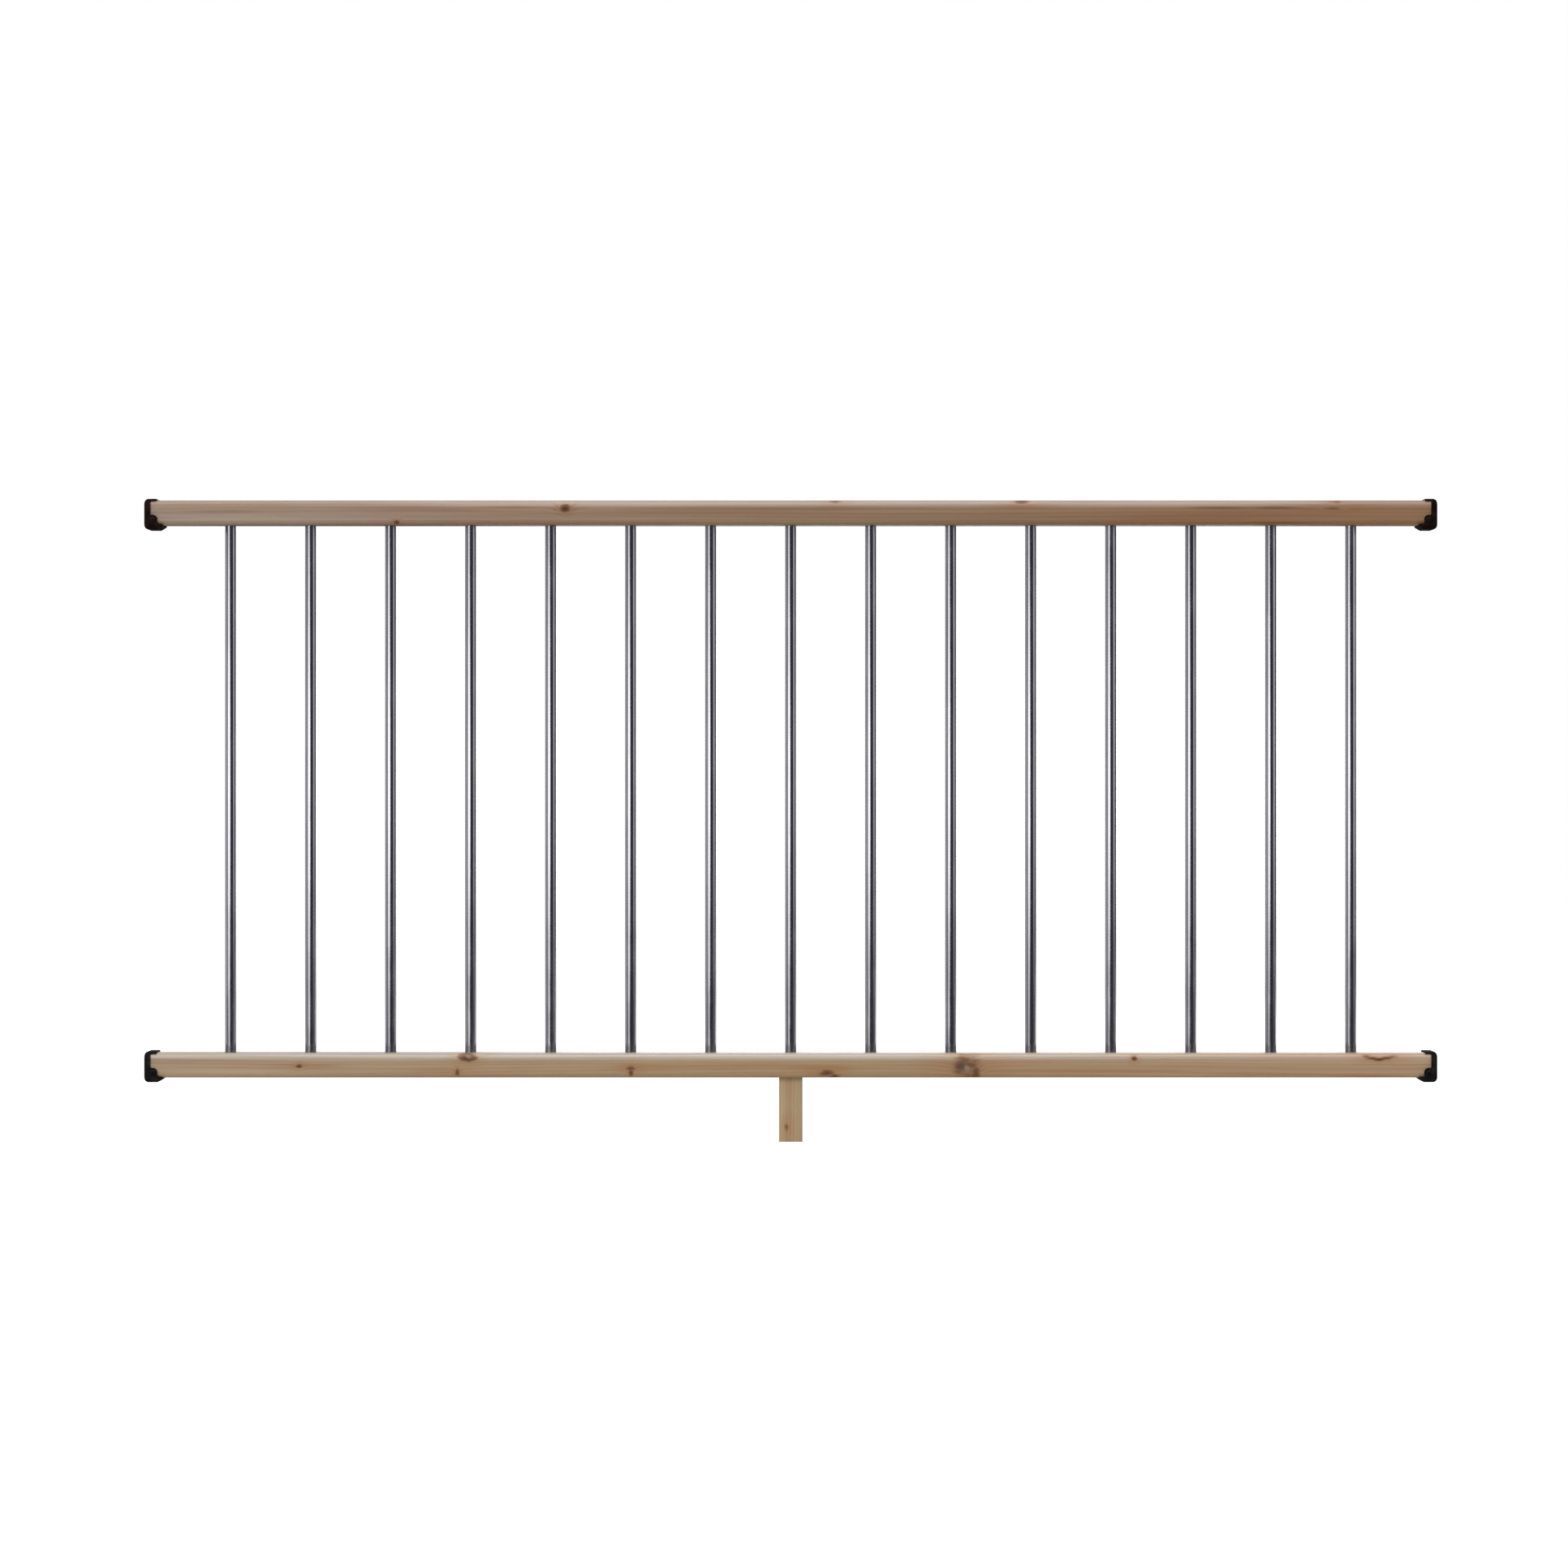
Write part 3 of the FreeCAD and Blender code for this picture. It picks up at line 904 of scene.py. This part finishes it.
head = welded(build.node("GeometryNodeSetPosition", None, {"Geometry": disc, "Position": domed}))
print("screw head:", HEAD_SIDES, "sides and", HEAD_RINGS, "rings")

# %% [markdown]
# The driver's cross is two bars, turned by a quarter from each other and cut out of the head's top. A
# dark cross painted on would catch no light on its walls, and the screws are seen from close by.

# %% Driver recess
def moved(mesh, rise, turn=(0.0, 0.0, 0.0)):
    """A mesh that is turned, in radians about X, Y and Z, and then moved along the screw's axis."""
    shift = mesh.node("ShaderNodeCombineXYZ", None, {"Z": rise})
    values = {"Geometry": mesh, "Translation": shift, "Rotation": turn}
    return mesh.node("GeometryNodeTransform", None, values)


bar_sides = {"X": part["Recess Length"], "Y": part["Recess Width"], "Z": part["Recess Depth"] * 2}
bar_size = build.node("ShaderNodeCombineXYZ", None, bar_sides)
bar = build.node("GeometryNodeMeshCube", None, {"Size": bar_size})
bars = [moved(bar, part["Head Height"], (0.0, 0.0, turn)) for turn in (0.0, math.pi / 2)]
cutting = {"operation": "DIFFERENCE", "solver": "EXACT"}
head = welded(build.node("GeometryNodeMeshBoolean", cutting, {"Mesh 1": head, "Mesh 2": bars}))
print("bars cut out of a head:", len(bars))

# %% [markdown]
# Behind the head comes the part that nobody sees once the screw is driven: a plain core, a pointed tip
# and, round the core, the thread: a triangle swept along a spiral. The spiral's radius plus the triangle's
# reach is exactly the CAD shank's radius, so the thread stays inside its pilot hole.

# %% Screw shank and thread
CORE_SHARE = 0.74
SHANK_SIDES = 20
TURN_STEPS = 14
TIP_RADIUS = 0.05
RIDGE_SIDES = 3

core_radius = part["Shank Radius"] * CORE_SHARE
core_length = part["Shank Length"] - part["Tip Length"]
core_end = core_length * -1.0
core_sizes = {"Vertices": SHANK_SIDES, "Radius": core_radius, "Depth": core_length}
core = moved(build.node("GeometryNodeMeshCylinder", None, core_sizes), core_length * -0.5)
tip_sizes = {
    "Vertices": SHANK_SIDES,
    "Radius Top": TIP_RADIUS,
    "Radius Bottom": core_radius,
    "Depth": part["Tip Length"],
}
tip = moved(build.node("GeometryNodeMeshCone", None, tip_sizes), core_end, (math.pi, 0.0, 0.0))
spiral_sizes = {
    "Resolution": TURN_STEPS,
    "Rotations": core_length / part["Thread Pitch"],
    "Start Radius": core_radius,
    "End Radius": core_radius,
    "Height": core_length,
    "Reverse": True,
}
spiral = build.node("GeometryNodeCurveSpiral", None, spiral_sizes)
ridge_sizes = {"Resolution": RIDGE_SIDES, "Radius": part["Shank Radius"] * (1 - CORE_SHARE)}
ridge = build.node("GeometryNodeCurvePrimitiveCircle", {"mode": "RADIUS"}, ridge_sizes)
thread_curves = {"Curve": spiral, "Profile Curve": ridge, "Fill Caps": True}
thread = moved(build.node("GeometryNodeCurveToMesh", None, thread_curves), core_end)
print("the core is", CORE_SHARE, "of the shank, with", TURN_STEPS, "steps to a turn of the thread")

# %% [markdown]
# Head, core, tip and thread run into each other. Joining them would leave walls inside the screw, so they
# are united to one closed solid. A screw is then set on each point of the mesh that the tree is given.
# Each point carries a direction, facing, and the screw's axis is turned to it, so one tree serves both
# sides of the rails.

# %% Screws on points
uniting = {"operation": "UNION", "solver": "EXACT"}
screw = welded(build.node("GeometryNodeMeshBoolean", uniting, {"Mesh 2": [head, core, tip, thread]}))
facing = build.node("GeometryNodeInputNamedAttribute", {"data_type": "FLOAT_VECTOR"}, {"Name": "facing"})
aim = build.node("FunctionNodeAlignRotationToVector", {"axis": "Z"}, {"Vector": facing})
placing = {"Points": part["Geometry"], "Rotation": aim, "Scale": part["Scale"]}
placing["Instance"] = crisp_rims(screw)
end_tree(build.node("GeometryNodeInstanceOnPoints", None, placing), part["Finish"])
print("screw tree:", len(screw_tree.nodes), "nodes")

# %% [markdown]
# The points that the screws stand on are the seats of the CAD screws, read from their boxes: the head's
# top is the face of the box that looks away from the rail.

# %% Screws
seat_places = []
seat_facings = []
for name in screw_names:
    low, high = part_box(name)
    middle = (low + high) / 2
    outwards = -1.0 if name.endswith("front") else 1.0
    head_top = low.y if outwards < 0 else high.y
    seat_places.append((middle.x, head_top - outwards * HEAD_HEIGHT * MM, middle.z))
    seat_facings.extend((0.0, outwards, 0.0))
seats = bpy.data.meshes.new("screw_seats")
seats.from_pydata(seat_places, [], [])
seats.attributes.new("facing", "FLOAT_VECTOR", "POINT").data.foreach_set("vector", seat_facings)
screws = made_by_tree("ear_screws", seats, screw_tree, screw_sizes)
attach(screws, "root")
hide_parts(*screw_names)
print("screws:", len(screws.data.polygons), "faces for", len(screw_names), "screws")

# %% [markdown]
# The railing stands in a plain white studio. The floor meets the block's foot. Seen directly, or mirrored
# in the metal, it glows most of the way to white and keeps the railing's soft shadow; for the light that
# bounces about, it is an ordinary pale floor. Light Path says which kind of ray is asking.

# %% Floor finish
FLOOR_PALE = (0.8, 0.8, 0.8, 1.0)
FLOOR_SHADED = (0.55, 0.55, 0.55, 1.0)
FLOOR_GLOW = 0.76


def seen_directly(tree):
    """1 for rays from the camera, a mirror or a clear body, and 0 for light that bounces about."""
    kinds = ["Is Camera Ray", "Is Glossy Ray", "Is Transmission Ray"]
    camera, glossy, through = tree.node("ShaderNodeLightPath", result=kinds)
    return tree.math("MAXIMUM", camera, tree.math("MAXIMUM", glossy, through))


floor_finish, ground = new_finish("studio_floor")
pale = ground.node("ShaderNodeBsdfDiffuse", None, {"Color": FLOOR_PALE})
shadow_catch = ground.node("ShaderNodeBsdfDiffuse", None, {"Color": FLOOR_SHADED})
glow = ground.node("ShaderNodeEmission", None, {"Strength": FLOOR_GLOW})
white = ground.node("ShaderNodeAddShader", None, {0: shadow_catch, 1: glow})
surface = ground.node("ShaderNodeMixShader", None, {0: seen_directly(ground), 1: pale, 2: white})
ground.node("ShaderNodeOutputMaterial", None, {"Surface": surface})
print("floor finish:", len(ground.tree.nodes), "nodes")

# %% [markdown]
# Floor and cards are plain sheets, given as rows of corners. One helper joins each row to the next, so a
# sheet may be flat, bent or arched.

# %% Floor
FLOOR_REACH = 30.0


def sheet_mesh(name, rows, finish):
    """A mesh that joins rows of corners, each row to the next."""
    width = len(rows[0])
    corners = [corner for row in rows for corner in row]
    faces = []
    for start in range(0, len(corners) - width, width):
        for corner in range(start, start + width - 1):
            faces.append((corner, corner + 1, corner + 1 + width, corner + width))
    mesh = bpy.data.meshes.new(name)
    mesh.from_pydata(corners, [], faces)
    mesh.materials.append(finish)
    return mesh


sides = [railing_middle.x - FLOOR_REACH, railing_middle.x + FLOOR_REACH]
floor_rows = [[(x, y, floor_height) for x in sides] for y in (-FLOOR_REACH, FLOOR_REACH)]
floor = put_in_scene("studio_floor", sheet_mesh("studio_floor", floor_rows, floor_finish))
print("floor at", round(floor_height, 4), "m")

# %% [markdown]
# The world is the rest of the studio. Seen directly it is plain white, and for the light that bounces
# about it is a weaker even fill, so that the lamps further down can still shape the wood.

# %% World
WORLD_FILL = 0.45
WHITE = (1.0, 1.0, 1.0, 1.0)

world = bpy.data.worlds.new("white_studio")
world.use_nodes = True
world.node_tree.nodes.clear()
air = Wire(world.node_tree)
strength = WORLD_FILL + seen_directly(air) * (1.0 - WORLD_FILL)
sky = air.node("ShaderNodeBackground", None, {"Color": WHITE, "Strength": strength})
air.node("ShaderNodeOutputWorld", None, {"Surface": sky})
bpy.context.scene.world = world
print("the world fills shadows at", WORLD_FILL)

# %% [markdown]
# A polished tube in an all white room would look like a plain grey strip. A photographer stands bright
# and black cards around such metal, so that each tube shows a clear highlight beside dark bands. A card
# here is a sheet that only mirror-like rays see: it throws no light and no shadow, and the camera looks
# through it. Its brightness may change with direction and height, as that of a card that a lamp lights in
# its middle.

# %% One card
UNLIT = (0.0, 0.0, 0.0, 1.0)


def card(name, rows, strength, level=None):
    """A sheet that shows in shiny surfaces alone. Level gives its light by direction and height."""
    finish, paper = new_finish(name)
    shine = {"Strength": strength}
    if level:
        x, y, height = parts_of(paper.node("ShaderNodeTexCoord", result="Object"))
        direction = paper.math("ARCTAN2", x - railing_middle.x, y * -1.0) * math.degrees(1.0)
        shine["Color"] = mixed(UNLIT, WHITE, level(direction, height))
    light = paper.node("ShaderNodeEmission", None, shine)
    paper.node("ShaderNodeOutputMaterial", None, {"Surface": light})
    sheet = put_in_scene(name, sheet_mesh(name, rows, finish))
    sheet.visible_camera = False
    sheet.visible_diffuse = False
    sheet.visible_transmission = False
    sheet.visible_shadow = False
    return sheet


print("a card is seen by glossy rays alone")

# %% [markdown]
# Each card round the railing fills a sector, along the floor and then up, like a paper sweep. A flat card
# would end at the floor, and a tube's foot would mirror what lies below it.

# %% Card sweeps
CARD_NEAR = 1.3
CARD_FAR = 9.0
CARD_TOP = 5.0
CARD_LIFT = 2 * MM
CARD_STEPS = 8


def sweep_card(name, start, end, strength, near=CARD_NEAR, far=CARD_FAR, top=CARD_TOP, level=None):
    """A card from start to end, in degrees to the right of the railing's front."""
    foot = Vector((railing_middle.x, 0.0, floor_height + CARD_LIFT))
    rows = []
    for step in range(CARD_STEPS + 1):
        angle = math.radians(start + (end - start) * step / CARD_STEPS)
        away = Vector((math.sin(angle), -math.cos(angle), 0.0))
        row = [foot + away * near, foot + away * far]
        if top:
            row.append(row[1] + Vector((0.0, 0.0, top)))
        rows.append(row)
    return card(name, rows, strength, level)


print("cards stand", CARD_FAR, "m away and", CARD_TOP, "m tall")

# %% [markdown]
# The key card's light is a rounded patch, widest and brightest at eye level, so the highlights narrow and
# fade towards both rails. The cards beside it darken there too. Each is a short function of direction and
# height, and the shares high and low say how far a height is above or below eye level.

# %% Card levels
HIGH = (0.45, 1.15)
LOW = (0.20, floor_height)
KEY_START = -56.0
KEY_END = -5.0
KEY_LEFT_BORDER = (-2.0, 2.0)
KEY_RIGHT_BORDER = (3.0, -7.0)
LEFT_INNER = (-88.0, -66.0)


def key_level(direction, height):
    """A patch whose borders draw in, and whose light falls, above and below eye level."""
    high = smooth_rise(height, *HIGH)
    low = smooth_rise(height, *LOW)
    left = KEY_START + high * 6.0 + low * 6.0
    right = KEY_END - high * 22.0 - low * 20.0
    inside_left = smooth_rise(direction - left, *KEY_LEFT_BORDER)
    inside_right = smooth_rise(direction - right, *KEY_RIGHT_BORDER)
    return inside_left * inside_right * (1.0 - high * 0.35 - low * 0.65)


def left_level(direction, height):
    """Grey that darkens towards the key card, more so above and below eye level."""
    high = smooth_rise(height, *HIGH)
    low = smooth_rise(height, *LOW)
    inner = smooth_rise(direction, *LEFT_INNER)
    return 1.0 - inner * 0.12 - high * (0.3 + inner * 0.25) - low * (0.12 + inner * 0.5)


def side_level(direction, height):
    """Grey that fades below eye level."""
    return 1.0 - smooth_rise(height, *LOW) * 0.75


def back_level(direction, height):
    """Light that falls by half above and below eye level."""
    return 1.0 - smooth_rise(height, *HIGH) * 0.5 - smooth_rise(height, *LOW) * 0.5


print("eye level is between", LOW[0], "and", HIGH[0], "m")

# %% [markdown]
# The sectors follow what the tubes show from left to right: grey, a white highlight, dark, a grey strip,
# dark. Behind the railing the same is done more simply, for a look from the back. The floor of the side
# and the back is dark up to where their bright sheets begin.

# %% Cards around the railing
BRIGHT = 4.3
LEFT_GREY = 1.05
SIDE_GREY = 1.08
FOOT_GREY = 0.30
BLACK = 0.09
SIDE_NEAR = 5.6
BACK_NEAR = 7.0
LEFT_START = -125
FRONT_START = 2
SIDE_START = 53
SIDE_END = 95
BACK_START = 150
BACK_LIGHT_END = 185
BACK_DARK_START = 195
BACK_END = 225

cards = [
    sweep_card("card_foot", -180, 180, FOOT_GREY, near=0.0, far=CARD_NEAR, top=0),
    sweep_card("card_left", LEFT_START, KEY_START, LEFT_GREY, level=left_level),
    sweep_card("card_key", KEY_START, FRONT_START, BRIGHT, level=key_level),
    sweep_card("card_front_dark", FRONT_START, SIDE_START, BLACK),
    sweep_card("card_side_foot", SIDE_START, SIDE_END, BLACK, far=SIDE_NEAR, top=0),
    sweep_card("card_side_grey", SIDE_START, SIDE_END, SIDE_GREY, near=SIDE_NEAR, level=side_level),
    sweep_card("card_side_dark", SIDE_END, BACK_START, BLACK, near=BACK_NEAR),
    sweep_card("card_back_foot", BACK_START, BACK_END, BLACK, far=BACK_NEAR, top=0),
    sweep_card("card_back", BACK_START, BACK_LIGHT_END, BRIGHT, near=BACK_NEAR, level=back_level),
    sweep_card("card_back_dark", BACK_DARK_START, BACK_END, BLACK, near=BACK_NEAR),
]
print("cards:", len(cards))

# %% [markdown]
# One more card arches over the railing, dark at its front edge and bright overhead. The rounded top edges
# of the rails mirror it as a white sheen that fades into the front along their whole length, which is
# what makes a planed edge look round.

# %% Card overhead
ARCH_GLOW = 4.0
ARCH_RADIUS = 4.0
ARCH_HALF_LENGTH = 5.0
ARCH_FROM = 4
ARCH_TO = 96
ARCH_STEPS = 16
ARCH_FULL_LIGHT = 0.85

arch_foot = top_box[1].z


def arch_level(direction, height):
    """Nothing at the front edge, rising to full overhead."""
    return smooth_rise(height, arch_foot, arch_foot + ARCH_RADIUS * ARCH_FULL_LIGHT)


arch_rows = []
for step in range(ARCH_STEPS + 1):
    angle = math.radians(ARCH_FROM + (ARCH_TO - ARCH_FROM) * step / ARCH_STEPS)
    y = -ARCH_RADIUS * math.cos(angle)
    z = arch_foot + ARCH_RADIUS * math.sin(angle)
    arch_rows.append([(railing_middle.x + side * ARCH_HALF_LENGTH, y, z) for side in (-1, 1)])
card("card_overhead", arch_rows, ARCH_GLOW, arch_level)
print("the overhead card spans", ARCH_FROM, "to", ARCH_TO, "degrees above the front")

# %% [markdown]
# Two large soft lamps light the wood: one from the front left, a little above the railing, and one
# overhead, which makes the rounded top edges lighter than the fronts. A third one lights the back. They
# are hidden from mirror-like rays, because the cards already draw the highlights.

# %% Lamps
def soft_lamp(name, right, back, up, width, height, power):
    """A rectangle of light that looks at the railing. Right is measured from the railing's middle."""
    lamp = bpy.data.lights.new(name, "AREA")
    lamp.shape = "RECTANGLE"
    lamp.size = width
    lamp.size_y = height
    lamp.energy = power
    stand = put_in_scene(name, lamp)
    stand.location = (railing_middle.x + right, back, up)
    stand.rotation_euler = (railing_middle - stand.location).to_track_quat("-Z", "Y").to_euler()
    stand.visible_camera = False
    stand.visible_glossy = False
    print(name, "gives", power, "W")


soft_lamp("lamp_front", right=-2.6, back=-4.6, up=2.4, width=3.0, height=2.0, power=126.0)
soft_lamp("lamp_above", right=0.0, back=-0.4, up=3.6, width=4.0, height=2.4, power=25.0)
soft_lamp("lamp_back", right=2.6, back=4.6, up=2.4, width=3.0, height=2.0, power=110.0)

# %% [markdown]
# The camera looks straight at the front, level with the middle of the picture, from nine metres: far
# enough that the rails stay parallel and show hardly any of their undersides. The picture is square, so
# one width in metres at the rail's front face fixes the lens.

# %% Camera
CAMERA_DISTANCE = 9.0
CAMERA_SIDE = -9.6 * MM
CAMERA_HEIGHT = 0.4008
FRAME_WIDTH = 2.2324

lens_camera = bpy.data.cameras.new("camera")
lens_camera.sensor_width = 36.0
lens_camera.lens = lens_camera.sensor_width * CAMERA_DISTANCE / FRAME_WIDTH
camera = put_in_scene("camera", lens_camera)
camera.location = (railing_middle.x + CAMERA_SIDE, rail_front - CAMERA_DISTANCE, CAMERA_HEIGHT)
camera.rotation_euler = (math.pi / 2, 0.0, 0.0)
bpy.context.scene.camera = camera
bpy.context.scene.view_settings.view_transform = "Standard"
print("lens", round(lens_camera.lens, 1), "mm")

# %% [markdown]
